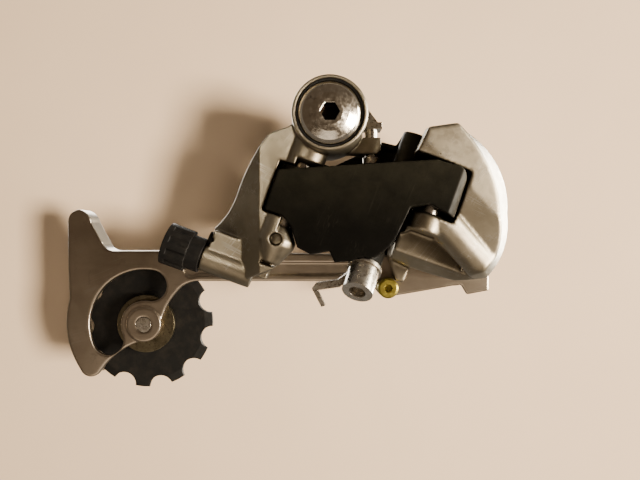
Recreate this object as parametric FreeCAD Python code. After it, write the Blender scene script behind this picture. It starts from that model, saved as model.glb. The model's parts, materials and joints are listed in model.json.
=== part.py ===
"""Rear bicycle derailleur with a long cage, built as separate pieces.

Frame: the mounting bolt's axis is Y, the hanger seats against the stopper plate at Y = 0.
+X points towards the front of the bicycle and +Z is up.  The outboard side is -Y, so the
helpers below take "out", the distance outboard of the hanger seat, and turn it into -Y.
The parallelogram lies in its own tilted frame: "along" runs from the bracket to the plate
body and "pin" runs up the link pins.
"""
import FreeCAD, Part
import math
import os
from FreeCAD import Vector

# ---------------------------------------------------------------- driving dimensions, mm
SHAFT_GAP = 0.05        # radial running clearance of shafts
FACE_GAP = 0.2          # side clearance between pieces that slide on each other
SWEEP_GAP = 0.5         # clearance round pieces that swing past each other

# mounting bolt and bracket barrel
BOLT_THREAD_R = 5.0
BOLT_THREAD_LENGTH = 8.5
BOLT_SHANK_R = 5.6
BOLT_HEAD_R = 9.2
BOLT_HEAD_DOME = 2.2
BOLT_HEAD_RIM = 1.6
HEX_ACROSS_FLATS = 5.0
HEX_DEPTH = 5.5
BARREL_R = 11.0
BARREL_OUT = 26.0
HEAD_RECESS_R = 9.9
HEAD_RECESS_DEPTH = 2.4
STOPPER_THICKNESS = 2.0
STOPPER_R = 10.2
EAR_TIP_X = 16.6
EAR_DEPTH = 6.0
TENSION_SCREW_R = 1.9
TENSION_SCREW_X = 13.2
TENSION_SCREW_LENGTH = 9.0
TENSION_SCREW_OUT = 6.4
EAR_BOTTOM = -1.6
EAR_THICKNESS = 2.0
TIP_GAP = 0.05
SPRING_WIRE = 1.9
COIL_RUNS = 16          # straight runs in each turn of a spring
BRACKET_SPRING_R = 7.7
BUSH_WALL = 0.9
BUSH_LENGTH = 3.2

# parallelogram
LINK_SLANT = 20.0       # tilt of the link pins from vertical, degrees
LINK_LENGTH = 40.0
LINK_REST_ANGLE = 6.0   # outward angle of the links at rest, degrees
OUTER_PIN_ALONG = -2.5
OUTER_PIN_OUT = 15.0
INNER_PIN_ALONG = -12.4
INNER_PIN_OUT = 3.0
LINK_PIN_R = 2.5
INNER_PIN_R = 2.2
OUTER_KNUCKLE_R = 5.9
INNER_KNUCKLE_R = 4.4
OUTER_REAR_LOW = -32.2
OUTER_EDGE_REAR = -17.3  # height of the outer link's upper edge at its rear pin
OUTER_EDGE_RISE = 0.42   # rise of that edge per mm along the link
OUTER_FRONT_LOW = -14.6
OUTER_FRONT_HIGH = -1.8
INNER_REAR_LOW = -33.4
INNER_REAR_HIGH = -16.4
INNER_FRONT_LOW = -23.4
INNER_FRONT_HIGH = -4.4
INNER_EAR = 4.6
INNER_TOP_EAR = 10.2     # length of the inner link's upper front ear
LINK_WEB = 2.4
INNER_WEB = 1.5
INNER_FLANGE_OUT = -2.2
OPEN_PIVOT_GAP = 0.12   # radial clearance at the pivot where the linkage is opened
EAR_LENGTH = 10.5
REAR_PIN_HOLD = 5.0
SPINE_OUT = 18.0
SPINE_RIDGE = -20.8      # X of the spine's ridge; behind it the spine falls away
SPINE_FALL = 38.0        # degrees
NOSE_SLOPE = 1.43
NOSE_LIFT = 2.2         # height of that cone's tip above the nose's flat seat
NOSE_BACK = 2.4
NOSE_FRONT = 0.7
NOSE_TAPER = 6.0         # length of the nose's tapered tip
NOSE_TIP_R = 3.2
LOCK_HOLE_R = 1.9
LOCK_HOLE_PIN = -39.4
FRONT_EAR_R = 5.1
LINK_END_R = 7.4        # rounding of the outer link's front end about its pin
CREASE = -25.0         # height of the bend across the outer link's face
FRONT_PIN_LOW = -22.0
FRONT_PIN_HIGH = 4.6

# cable adjuster
ADJUSTER_PIN = -52.2    # height of its axis in the link frame
ADJUSTER_OUT = 10.0
ADJUSTER_FROM = -34.4
KNOB_LENGTH = 7.6
KNOB_R = 6.5
COLLAR_LENGTH = 4.2
COLLAR_R = 5.4
BOSS_R = 4.5
BOSS_END = -6.0
BARREL_THREAD_R = 2.9
HOUSING_BORE_R = 2.55
HOUSING_BORE_DEPTH = 6.6
CABLE_R = 0.9
STEM_R = 4.1
THREAD_IN_BOSS = 7.5
FLUTES = 10
FLUTE_R = 1.3
LIMIT_SCREW_PIN = -46.3
LIMIT_SCREW_R = 1.5
LIMIT_SCREW_HEAD_R = 2.3
LIMIT_SCREW_FROM = -20.4
LIMIT_SCREW_LENGTH = 11.0
LIMIT_SCREW_OUTS = (4.6, 10.6)

# cable anchor on the outer link
ANCHOR_R = 2.5
ANCHOR_HEAD_R = 4.6
ANCHOR_HEAD_LENGTH = 8.0
ANCHOR_WASHER = 1.2
ANCHOR_HOLD = 5.0
ANCHOR_LEAN = 38.0
ANCHOR_X = 10.6
ANCHOR_Z = -44.6
ANCHOR_OUT = 17.0

# plate body
AXLE_AHEAD = 6.1        # plate axle in front of the outer link's front pin
AXLE_BELOW = 22.1
PLATE_AXLE_R = 4.0
BODY_IN = -6.5
BODY_SHOULDER = 9.0
BODY_OUT = 24.4
RECESS_OUT = 11.0       # floor of the recess under the ridge
RIDGE_R = 5.0
NOSE_HOLD = 7.6         # length of the lower ear
PLATE_SPRING_R = 7.4
PLATE_SPRING_ROOM = 14.0
AXLE_END = 13.0
RIVET_R = 4.3
AXLE_SCREW_R = 0.9

# cage
CAGE_GAP = 0.5          # running gap between plate body and outer cage plate
OUTER_PLATE = 2.0
INNER_PLATE = 1.6
CAGE_WIDTH = 8.4
PLATE_DISC_R = 17.0
GUIDE_BEHIND = 13.6     # guide pulley from the plate axle
GUIDE_ABOVE = 4.4
CAGE_REACH = 103.0      # tension pulley behind the plate axle
CAGE_DROP = 29.9
STOP_PIN_BEHIND = 21.7
STOP_PIN_BELOW = 17.3
STOP_PIN_R = 3.3
ARM_HIGH = 24.7         # arm's edges above the tension pulley's axis
ARM_LOW = 14.5
STOP_SCREW_R = 1.6
STOP_PIN_END = 0.0
HUB_RAISE = 0.9
ARM_GROOVE = 0.7
SLOT_INNER_R = 8.0
SLOT_OUTER_R = 18.4
FORK_RIM = 7.2          # plate left behind the slot
SLOT_FROM = 80.0
SLOT_TO = 203.0
HUB_R = 5.8

# pulleys
CHAIN_PITCH = 12.7
ROLLER_R = 3.96
PULLEY_TEETH = 11
PULLEY_WIDTH = 2.3
PULLEY_HUB_WIDTH = 5.2
PULLEY_BORE_R = 4.6
PULLEY_BOLT_R = 2.5
PULLEY_BOLT_HEAD_R = 4.2
PULLEY_BOLT_HEAD = 2.6
DUST_CAP_R = 9.7
TIP_DROP = 0.45
CAP_LIP = 0.9
TENSION_PULLEY_TURN = 3.0

# ---------------------------------------------------------------- worked out from them
PIN_DIRECTION = Vector(math.sin(math.radians(LINK_SLANT)), 0, math.cos(math.radians(LINK_SLANT)))
REACH_ALONG = LINK_LENGTH * math.cos(math.radians(LINK_REST_ANGLE))
REACH_OUT = LINK_LENGTH * math.sin(math.radians(LINK_REST_ANGLE))
OUTER_FRONT_ALONG = OUTER_PIN_ALONG + REACH_ALONG
OUTER_FRONT_OUT = OUTER_PIN_OUT + REACH_OUT
INNER_FRONT_ALONG = INNER_PIN_ALONG + REACH_ALONG
INNER_FRONT_OUT = INNER_PIN_OUT + REACH_OUT
PLATE_AXLE_X = OUTER_FRONT_ALONG * PIN_DIRECTION.z + AXLE_AHEAD
PLATE_AXLE_Z = -OUTER_FRONT_ALONG * PIN_DIRECTION.x - AXLE_BELOW
GUIDE_X, GUIDE_Z = PLATE_AXLE_X - GUIDE_BEHIND, PLATE_AXLE_Z + GUIDE_ABOVE
TENSION_X, TENSION_Z = PLATE_AXLE_X - CAGE_REACH, PLATE_AXLE_Z - CAGE_DROP
STOP_PIN_X, STOP_PIN_Z = PLATE_AXLE_X - STOP_PIN_BEHIND, PLATE_AXLE_Z - STOP_PIN_BELOW
CAP = (CAGE_WIDTH - PULLEY_HUB_WIDTH) / 2 - 0.1
RETURN_ROOM_R = OUTER_KNUCKLE_R - 1.4
RETURN_ROOM_LOW = OUTER_FRONT_LOW + 2.2
RETURN_ROOM_HIGH = OUTER_FRONT_HIGH - 3.0
CAGE_OUT = BODY_IN - CAGE_GAP
OUTER_PLATE_IN = CAGE_OUT - OUTER_PLATE
INNER_PLATE_OUT = OUTER_PLATE_IN - CAGE_WIDTH
INNER_PLATE_IN = INNER_PLATE_OUT - INNER_PLATE
PULLEY_OUT = (OUTER_PLATE_IN + INNER_PLATE_OUT) / 2
FORK_BACK = -SLOT_OUTER_R - FORK_RIM
PULLEY_PITCH_R = CHAIN_PITCH / 2 / math.sin(math.pi / PULLEY_TEETH)
ADJUSTER_COLLAR = ADJUSTER_FROM + KNOB_LENGTH
ADJUSTER_BOSS = ADJUSTER_COLLAR + COLLAR_LENGTH + FACE_GAP


# ---------------------------------------------------------------- helpers
def spot(x, z, out=0.0):
    """A point given by X, Z and its distance outboard of the hanger seat."""
    return Vector(x, -out, z)


def path(start, *steps, at=(0.0, 0.0)):
    """Closed outline in the XZ plane round 'at'; a step is a point, or a (via, end) pair for an arc."""
    edges = []
    here = start
    for step in list(steps) + [start]:
        if isinstance(step[0], tuple):
            via, end = step
            edges.append(Part.Arc(spot(*here), spot(*via), spot(*end)).toShape())
        else:
            end = step
            if math.hypot(end[0] - here[0], end[1] - here[1]) < 1e-6:
                continue
            edges.append(Part.makeLine(spot(*here), spot(*end)))
        here = end
    outline = Part.Wire(edges)
    outline.translate(spot(*at))
    return outline


def prism(wire, low, high):
    """Solid between two outboard distances with the wire's outline."""
    face = Part.Face(wire)
    face.translate(Vector(0, -low, 0))
    return face.extrude(Vector(0, low - high, 0))


def round_bar(x, z, radius, low, high):
    """Cylinder along Y between two outboard distances."""
    return Part.makeCylinder(radius, high - low, spot(x, z, low), Vector(0, -1, 0))


def ring(x, z, outer, inner, low, high):
    """Tube along Y between two outboard distances."""
    return round_bar(x, z, outer, low, high).cut(round_bar(x, z, inner, low - 1, high + 1))


def tilted(shape):
    """Move a shape from the link frame into the part's frame."""
    shape.rotate(Vector(0, 0, 0), Vector(0, 1, 0), LINK_SLANT)
    return shape


def pin_bar(along, out, radius, low, high):
    """Cylinder in the link frame, its axis along the link pins."""
    bar = Part.makeCylinder(radius, high - low, Vector(along, -out, low), Vector(0, 0, 1))
    return tilted(bar)


def link_box(along, out, pin):
    """Box in the link frame from three (low, high) pairs."""
    size = [high - low for low, high in (along, out, pin)]
    return tilted(Part.makeBox(*size, Vector(along[0], -out[1], pin[0])))


def along_bar(start, radius, length, pin=ADJUSTER_PIN, out=ADJUSTER_OUT):
    """Cylinder whose axis runs along the links' direction."""
    return tilted(Part.makeCylinder(radius, length, Vector(start, -out, pin), Vector(1, 0, 0)))


def coil(radius, wire, height, turns):
    """Square-wire coil spring standing on the origin, axis +Z, its turns made of short runs."""
    half = wire / 2
    corners = [(-half, -half), (half, -half), (half, half), (-half, half), (-half, -half)]
    sections = []
    for i in range(turns * COIL_RUNS + 1):
        turn = 2 * math.pi * i / COIL_RUNS
        rise = half + (height - wire) * i / (turns * COIL_RUNS)
        sections.append(Part.makePolygon([
            Vector((radius + dr) * math.cos(turn), (radius + dr) * math.sin(turn), rise + dz)
            for dr, dz in corners]))
    return Part.makeLoft(sections, True, True)


def hex_bar(x, z, across, low, high):
    """Hexagonal bar along Y between two outboard distances."""
    radius = across / math.sqrt(3)
    turns = [math.radians(60 * i) for i in range(7)]
    corners = [spot(x + radius * math.cos(t), z + radius * math.sin(t)) for t in turns]
    return prism(Part.makePolygon(corners), low, high)


def beyond(*points):
    """Everything outboard of the plane through three (x, z, out) points about the plate axle."""
    first, second, third = [spot(PLATE_AXLE_X + x, PLATE_AXLE_Z + z, out) for x, z, out in points]
    way = (second - first).cross(third - first)
    if way.y > 0:
        way = way * -1
    return Part.makeCylinder(120, 40, first, way)


def merged(*shapes):
    """One solid out of overlapping ones, without seams."""
    return shapes[0].fuse(list(shapes[1:])).removeSplitter()


def lathe(profile, x=0.0, z=0.0):
    """Solid of revolution about a Y axis through (x, z); profile holds (radius, out) pairs."""
    points = [spot(x + radius, z, out) for radius, out in profile]
    face = Part.Face(Part.makePolygon(points + [points[0]]))
    return face.revolve(spot(x, z), Vector(0, 1, 0), 360)


# ---------------------------------------------------------------- mounting bolt group
def mounting_bolt():
    head_seat = BARREL_OUT - HEAD_RECESS_DEPTH
    rim = head_seat + BOLT_HEAD_RIM
    crown = rim + BOLT_HEAD_DOME
    chamfer = 1.0
    groove_r = BOLT_SHANK_R - 1.0
    profile = [
        (0, -BOLT_THREAD_LENGTH),
        (BOLT_THREAD_R - chamfer, -BOLT_THREAD_LENGTH),
        (BOLT_THREAD_R, chamfer - BOLT_THREAD_LENGTH),
        (BOLT_THREAD_R, 0),
        (groove_r, 0),
        (groove_r, 0.9),
        (BOLT_SHANK_R, 0.9),
        (BOLT_SHANK_R, head_seat),
        (BOLT_HEAD_R, head_seat),
        (BOLT_HEAD_R, rim),
        (BOLT_HEAD_R * 0.86, rim + BOLT_HEAD_DOME * 0.52),
        (BOLT_HEAD_R * 0.6, rim + BOLT_HEAD_DOME * 0.84),
        (BOLT_HEAD_R * 0.4, crown),
        (0, crown),
    ]
    bolt = lathe(profile)
    return bolt.cut(hex_bar(0, 0, HEX_ACROSS_FLATS, crown - HEX_DEPTH, crown + 1))


def stopper_plate():
    """Flat ring with an ear folded outboard above the tip of the B-tension screw."""
    plate = round_bar(0, 0, STOPPER_R, 0, STOPPER_THICKNESS)
    ear_top = EAR_BOTTOM + EAR_THICKNESS
    tongue = prism(path((6, EAR_BOTTOM), (EAR_TIP_X, EAR_BOTTOM), (EAR_TIP_X, ear_top), (STOPPER_R, 9.0),
                        (6, STOPPER_R * 0.8)), 0, STOPPER_THICKNESS)
    fold = prism(path((BARREL_R + SWEEP_GAP, EAR_BOTTOM), (EAR_TIP_X, EAR_BOTTOM), (EAR_TIP_X, ear_top),
                      (BARREL_R + SWEEP_GAP, ear_top)), 0, STOPPER_THICKNESS + EAR_DEPTH)
    plate = merged(plate, tongue, fold)
    return plate.cut(round_bar(0, 0, BOLT_SHANK_R + SHAFT_GAP, -1, STOPPER_THICKNESS + 1))


def bolt_circlip():
    """Open ring in the bolt's groove, inside the stopper plate."""
    clip = ring(0, 0, BOLT_SHANK_R, BOLT_SHANK_R - 1.0, 0.1, 0.8)
    return clip.cut(prism(path((-1.5, -9), (1.5, -9), (1.5, 0), (-1.5, 0)), -1, 2))


# ---------------------------------------------------------------- bracket
def coned_ear(along, out, radius, seat, rise, length, up, tip=0):
    """Ear round a link pin; its seat is a cone that follows the link's slanted edge.

    With a tip radius its far end tapers to that.
    """
    way = 1 if up else -1
    shoulder = LINK_PIN_R + 0.6
    profile = [(0, seat + way * shoulder * rise), (shoulder, seat + way * shoulder * rise),
               (radius, seat + way * radius * rise), (radius, seat + way * length),
               (0, seat + way * length)]
    if tip:
        profile[3:4] = [(radius, seat + way * (length - NOSE_TAPER)), (tip, seat + way * length)]
    points = [Vector(r, 0, z) for r, z in profile]
    face = Part.Face(Part.makePolygon(points + [points[0]]))
    ear = face.revolve(Vector(0, 0, 0), Vector(0, 0, 1), 360)
    ear.translate(Vector(along, -out, 0))
    return tilted(ear)


def half_ear(along, out, radius, low, high, past, above=-20):
    """The part of a round ear behind its pin by more than 'past' and outboard of it by 'above'."""
    bar = pin_bar(along, out, radius, low, high)
    return bar.common(link_box((along - 30, along - past), (out + above, out + 20), (low, high)))


def tension_bar(radius, top, length):
    """Upright cylinder on the B-tension screw's axis, hanging from 'top'."""
    return Part.makeCylinder(radius, length, spot(TENSION_SCREW_X, top - length, TENSION_SCREW_OUT),
                             Vector(0, 0, 1))


def bracket_body():
    """B knuckle: barrel, hollow spine, ears for both rear pins and the adjuster's boss."""
    low = STOPPER_THICKNESS + FACE_GAP
    head_floor = BARREL_OUT - HEAD_RECESS_DEPTH
    barrel = round_bar(0, 0, BARREL_R, low, BARREL_OUT)
    outer_rim = [edge for edge in barrel.Edges if abs(edge.CenterOfMass.y + BARREL_OUT) < 0.01]
    barrel = barrel.makeChamfer(0.5, outer_rim)

    spine = prism(path((-8.0, 1.0), (-12.2, -2.6), (-17.8, -4.6), ((-24.6, -14.5), (-28.1, -22.0)),
                       ((-31.0, -27.6), (-36.2, -32.6)), (-32.5, -43.2), (-24.5, -48.0),
                       (-15.7, -44.5), (-8.0, -32.0), (-8.0, -22.0), (-2.0, -6.0)), low, SPINE_OUT)
    slope = prism(path((0, 30), (0, -80), (-60, -80), (-60, 30)), 0, 60)
    slope.rotate(Vector(0, 0, 0), Vector(0, 0, 1), -SPINE_FALL)
    slope.translate(spot(SPINE_RIDGE, 0, SPINE_OUT))
    spine = spine.cut(slope)
    spine = spine.cut(sweep_room())

    seat_high = OUTER_EDGE_REAR + SWEEP_GAP
    upper = coned_ear(OUTER_PIN_ALONG, OUTER_PIN_OUT, OUTER_KNUCKLE_R, seat_high, OUTER_EDGE_RISE,
                      EAR_LENGTH, True)
    upper_back = half_ear(OUTER_PIN_ALONG, OUTER_PIN_OUT, OUTER_KNUCKLE_R, seat_high,
                          seat_high + EAR_LENGTH, NOSE_BACK)
    seat_low = OUTER_REAR_LOW - SWEEP_GAP
    nose_end = seat_low - EAR_LENGTH - 3.5
    nose = coned_ear(OUTER_PIN_ALONG, OUTER_PIN_OUT, OUTER_KNUCKLE_R, seat_low + NOSE_LIFT, NOSE_SLOPE,
                     seat_low + NOSE_LIFT - nose_end, False, NOSE_TIP_R)
    taper = nose_end + NOSE_TAPER
    nose_back = half_ear(OUTER_PIN_ALONG, OUTER_PIN_OUT, OUTER_KNUCKLE_R, taper, seat_low, NOSE_BACK)
    nose_front = half_ear(OUTER_PIN_ALONG, OUTER_PIN_OUT, OUTER_KNUCKLE_R, taper, seat_low,
                          NOSE_FRONT, 0)
    lug_low = INNER_REAR_LOW + FACE_GAP
    lug_high = INNER_REAR_HIGH - FACE_GAP
    lug = pin_bar(INNER_PIN_ALONG, INNER_PIN_OUT, INNER_KNUCKLE_R - 0.4, lug_low, lug_high)
    tie = link_box((INNER_PIN_ALONG - INNER_KNUCKLE_R + 0.4, INNER_PIN_ALONG),
                   (INNER_PIN_OUT, INNER_PIN_OUT + 8), (lug_low, lug_high))
    boss = along_bar(ADJUSTER_BOSS, BOSS_R, BOSS_END - ADJUSTER_BOSS)
    web = link_box((ADJUSTER_BOSS + 1, OUTER_PIN_ALONG + 1), (ADJUSTER_OUT - 3.5, ADJUSTER_OUT + 3.5),
                   (ADJUSTER_PIN, seat_low - EAR_LENGTH))
    screw_boss = prism(path((8.0, -4.5), (16.2, -4.5), (16.2, -8.4), (15.0, -9.8), (5.0, -9.8)),
                       TENSION_SCREW_OUT - 2.1, TENSION_SCREW_OUT + 2.8)
    body = merged(barrel, spine, upper, upper_back, nose, nose_back, nose_front, lug, tie, boss, web,
                  screw_boss)

    bolt_bore = round_bar(0, 0, BOLT_SHANK_R + SHAFT_GAP + BUSH_WALL, low - 1, BARREL_OUT + 1)
    spring_room = round_bar(0, 0, BRACKET_SPRING_R + SPRING_WIRE / 2 + 0.3,
                            low + BUSH_LENGTH, head_floor - BUSH_LENGTH)
    recess = round_bar(0, 0, HEAD_RECESS_R, head_floor, BARREL_OUT + 1)
    housing = along_bar(ADJUSTER_BOSS - 1, BARREL_THREAD_R, 9.0)
    cable = along_bar(ADJUSTER_BOSS, CABLE_R + 0.2, 40)
    tension = tension_bar(TENSION_SCREW_R, EAR_BOTTOM, TENSION_SCREW_LENGTH + 4)
    limits = [along_bar(LIMIT_SCREW_FROM - 8, LIMIT_SCREW_R, LIMIT_SCREW_LENGTH + 8, LIMIT_SCREW_PIN, out)
              for out in LIMIT_SCREW_OUTS]
    heads = [along_bar(LIMIT_SCREW_FROM - 8, LIMIT_SCREW_HEAD_R + 0.4, 8, LIMIT_SCREW_PIN, out)
             for out in LIMIT_SCREW_OUTS]
    pins = [outer_rear_bar(LINK_PIN_R), inner_rear_bar(INNER_PIN_R)]
    lock = lock_hole()
    return body.cut([bolt_bore, spring_room, recess, housing, cable, tension, lock] + limits + heads + pins)


def lock_hole():
    """Blind hole in the nose's face, down to the outer link's rear pin."""
    x = OUTER_PIN_ALONG * PIN_DIRECTION.z + LOCK_HOLE_PIN * PIN_DIRECTION.x
    z = LOCK_HOLE_PIN * PIN_DIRECTION.z - OUTER_PIN_ALONG * PIN_DIRECTION.x
    return round_bar(x, z, LOCK_HOLE_R, OUTER_PIN_OUT + LINK_PIN_R + 0.3, OUTER_PIN_OUT + OUTER_KNUCKLE_R + 1)


def sweep_room():
    """Space that both links need inside the bracket as they fold."""
    seat_high = OUTER_EDGE_REAR + SWEEP_GAP
    seat_low = OUTER_REAR_LOW - SWEEP_GAP
    knuckle = OUTER_KNUCKLE_R + SWEEP_GAP
    rooms = [
        link_box((OUTER_PIN_ALONG - NOSE_BACK, 60), (-30, 40), (ADJUSTER_PIN + BOSS_R, 30)),
        link_box((OUTER_PIN_ALONG - 7, 60), (OUTER_PIN_OUT - knuckle, 40), (seat_low, seat_high)),
        pin_bar(OUTER_PIN_ALONG, OUTER_PIN_OUT, knuckle, seat_low, seat_high),
    ]
    reach = INNER_KNUCKLE_R + SWEEP_GAP
    for low, high in ((INNER_REAR_LOW - INNER_EAR - SWEEP_GAP, INNER_REAR_LOW + FACE_GAP),
                      (INNER_REAR_HIGH - FACE_GAP, INNER_REAR_HIGH + INNER_EAR + SWEEP_GAP)):
        rooms.append(pin_bar(INNER_PIN_ALONG, INNER_PIN_OUT, reach, low, high))
        rooms.append(link_box((INNER_PIN_ALONG, 60), (-30, INNER_PIN_OUT + reach), (low, high)))
    rooms.append(link_box((INNER_PIN_ALONG - 1.5, 60), (-30, INNER_PIN_OUT - 1.5),
                          (INNER_REAR_LOW - INNER_EAR, INNER_REAR_HIGH + INNER_EAR)))
    return rooms


def outer_rear_bar(radius):
    low = OUTER_REAR_LOW - SWEEP_GAP - EAR_LENGTH
    return pin_bar(OUTER_PIN_ALONG, OUTER_PIN_OUT, radius, low, OUTER_EDGE_REAR + REAR_PIN_HOLD)


def inner_rear_bar(radius):
    return pin_bar(INNER_PIN_ALONG, INNER_PIN_OUT, radius, INNER_REAR_LOW - INNER_EAR,
                   INNER_REAR_HIGH + INNER_EAR)


def limit_screw(out):
    """Slotted screw that stops the parallelogram's travel."""
    shank = along_bar(LIMIT_SCREW_FROM, LIMIT_SCREW_R, LIMIT_SCREW_LENGTH, LIMIT_SCREW_PIN, out)
    head = along_bar(LIMIT_SCREW_FROM - 2.0, LIMIT_SCREW_HEAD_R, 2.0, LIMIT_SCREW_PIN, out)
    slot = link_box((LIMIT_SCREW_FROM - 3.0, LIMIT_SCREW_FROM - 1.0), (out - 0.4, out + 0.4),
                    (LIMIT_SCREW_PIN - 4, LIMIT_SCREW_PIN + 4))
    return merged(shank, head).cut(slot)


def b_tension_screw():
    """Screw whose tip bears on the stopper plate's ear from below."""
    foot = EAR_BOTTOM - TIP_GAP - TENSION_SCREW_LENGTH
    shank = tension_bar(TENSION_SCREW_R, EAR_BOTTOM - TIP_GAP, TENSION_SCREW_LENGTH)
    head = tension_bar(TENSION_SCREW_R + 0.8, foot, 1.8)
    return merged(shank, head)


def bracket_bushes():
    """Two flangeless bushes that the bolt's shank turns in."""
    low = STOPPER_THICKNESS + FACE_GAP
    high = BARREL_OUT - HEAD_RECESS_DEPTH
    inner = BOLT_SHANK_R + SHAFT_GAP
    return Part.makeCompound([ring(0, 0, inner + BUSH_WALL, inner, low, low + BUSH_LENGTH),
                              ring(0, 0, inner + BUSH_WALL, inner, high - BUSH_LENGTH, high)])


def bracket_dust_ring():
    """Dark seal in the recess round the bolt's head."""
    floor = BARREL_OUT - HEAD_RECESS_DEPTH
    return ring(0, 0, HEAD_RECESS_R, BOLT_HEAD_R + 0.1, floor, BARREL_OUT - 0.5)


def bracket_spring():
    """B spring, coiled round the bolt inside the barrel."""
    low = STOPPER_THICKNESS + FACE_GAP + BUSH_LENGTH + 0.2
    high = BARREL_OUT - HEAD_RECESS_DEPTH - BUSH_LENGTH - 0.2
    spring = coil(BRACKET_SPRING_R, SPRING_WIRE, high - low, 3)
    spring.rotate(Vector(0, 0, 0), Vector(1, 0, 0), 90)
    spring.translate(Vector(0, -low, 0))
    return spring


# ---------------------------------------------------------------- cable adjuster
def adjusting_barrel():
    """Hollow screw that the cable housing ends in."""
    thread = along_bar(ADJUSTER_COLLAR, BARREL_THREAD_R - SHAFT_GAP,
                       ADJUSTER_BOSS - ADJUSTER_COLLAR + THREAD_IN_BOSS)
    stem = along_bar(ADJUSTER_FROM, STEM_R, KNOB_LENGTH)
    stem = merged(stem, thread)
    stem = stem.cut(along_bar(ADJUSTER_FROM - 1, HOUSING_BORE_R, HOUSING_BORE_DEPTH + 1))
    return stem.cut(along_bar(ADJUSTER_FROM, CABLE_R, 60))


def adjuster_knob():
    """Fluted grip and its plain collar."""
    grip = along_bar(ADJUSTER_FROM, KNOB_R, KNOB_LENGTH)
    flutes = []
    for i in range(FLUTES):
        turn = 2 * math.pi * i / FLUTES
        flutes.append(along_bar(ADJUSTER_FROM + 1.6, FLUTE_R, KNOB_LENGTH,
                                ADJUSTER_PIN + (KNOB_R + FLUTE_R / 2) * math.cos(turn),
                                ADJUSTER_OUT + (KNOB_R + FLUTE_R / 2) * math.sin(turn)))
    grip = grip.cut(flutes)
    collar = along_bar(ADJUSTER_COLLAR, COLLAR_R, COLLAR_LENGTH)
    knob = merged(grip, collar)
    return knob.cut(along_bar(ADJUSTER_FROM - 1, STEM_R, KNOB_LENGTH + COLLAR_LENGTH + 2))


def adjuster_spring():
    """Light spring inside the collar that keeps the knob's clicks."""
    spring = coil(BARREL_THREAD_R + 0.6, 0.6, COLLAR_LENGTH, 3)
    spring.rotate(Vector(0, 0, 0), Vector(0, 1, 0), 90)
    spring.translate(Vector(ADJUSTER_COLLAR + FACE_GAP / 2, -ADJUSTER_OUT, ADJUSTER_PIN))
    return tilted(spring)


# ---------------------------------------------------------------- parallelogram
def place_link(shape, along, out):
    """Turn a link from its own frame to the rest angle about its rear pin."""
    shape.rotate(Vector(0, 0, 0), Vector(0, 0, 1), -LINK_REST_ANGLE)
    shape.translate(Vector(along, -out, 0))
    return tilted(shape)


def unplaced(shape):
    """Take a shape from the part's frame back into the outer link's own frame."""
    shape.rotate(Vector(0, 0, 0), Vector(0, 1, 0), -LINK_SLANT)
    shape.translate(Vector(-OUTER_PIN_ALONG, OUTER_PIN_OUT, 0))
    shape.rotate(Vector(0, 0, 0), Vector(0, 0, 1), LINK_REST_ANGLE)
    return shape


def link_cylinder(x, out, radius, low, high):
    return Part.makeCylinder(radius, high - low, Vector(x, -out, low), Vector(0, 0, 1))


def link_block(x, out, pin):
    size = [high - low for low, high in (x, out, pin)]
    return Part.makeBox(*size, Vector(x[0], -out[1], pin[0]))


def outer_outline(inset):
    """Outer link's face outline, drawn 'inset' inside its true edge."""
    left = inset - OUTER_KNUCKLE_R
    right = LINK_LENGTH + OUTER_KNUCKLE_R + 1.0 - inset
    top = OUTER_EDGE_REAR - inset * 1.1
    front = OUTER_FRONT_HIGH - inset
    low = OUTER_REAR_LOW + inset
    under = OUTER_FRONT_LOW + inset
    return path(
        (left, top + left * OUTER_EDGE_RISE), (36.9, front), (LINK_LENGTH + 1.2, front),
        ((right - 0.9, front - 0.9), (right, front - 3.4)),
        (right + 0.4, under - 1.4), (LINK_LENGTH - 0.6, under),
        (LINK_LENGTH - 5.6 - inset, under - 2.6), (LINK_LENGTH - 6.4 - inset, under - 11.0),
        ((LINK_LENGTH - 8.4 - inset, under - 17.0), (LINK_LENGTH - 12.6 - inset, under - 21.6)),
        (18.9, inset - 39.9), (16.4, inset - 37.2), (11.4, inset - 40.1), (7.0 + inset, inset - 39.6),
        (2.9 + inset, low - 1.8), (-0.4 + inset, low), (left, low))


def outer_link():
    """Wide front link: a channel with a knuckle round each pin and an arm for the cable."""
    face_out = OUTER_KNUCKLE_R - 0.4
    back = -3.0
    shell = prism(outer_outline(0), back, face_out)
    hollow = prism(outer_outline(1.8), back - 1, face_out - LINK_WEB)
    rear = link_cylinder(0, 0, face_out, OUTER_REAR_LOW, OUTER_EDGE_REAR)
    front = link_cylinder(LINK_LENGTH, 0, face_out, OUTER_FRONT_LOW, OUTER_FRONT_HIGH)
    anchor_boss = unplaced(anchor_axis(ANCHOR_HEAD_R, -ANCHOR_HOLD - 1.5, ANCHOR_HOLD + 1.5))
    link = shell.cut(hollow).fuse([rear, front, anchor_boss])
    slope = link_block((-30, 80), (face_out, face_out + 20), (-90, 0))
    slope.translate(Vector(0, 0, CREASE))
    slope.rotate(Vector(0, -face_out, CREASE), Vector(1, 0, 0), 9)
    blunt = link_block((LINK_LENGTH, LINK_LENGTH + 20), (-20, 20), (-60, 20))
    blunt = blunt.cut(link_cylinder(LINK_LENGTH, 0, LINK_END_R, -60, 20))
    link = link.cut([slope, blunt])
    room = link_cylinder(LINK_LENGTH, 0, RETURN_ROOM_R, RETURN_ROOM_LOW, RETURN_ROOM_HIGH)
    bores = [link_cylinder(x, 0, LINK_PIN_R + SHAFT_GAP, -60, 20) for x in (0, LINK_LENGTH)]
    link = link.cut([room] + bores)
    anchor = [anchor_axis(ANCHOR_R, -ANCHOR_HOLD, 30), anchor_axis(ANCHOR_HEAD_R + 0.8, 0, 20)]
    return place_link(link, OUTER_PIN_ALONG, OUTER_PIN_OUT).cut(anchor).removeSplitter()


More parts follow.
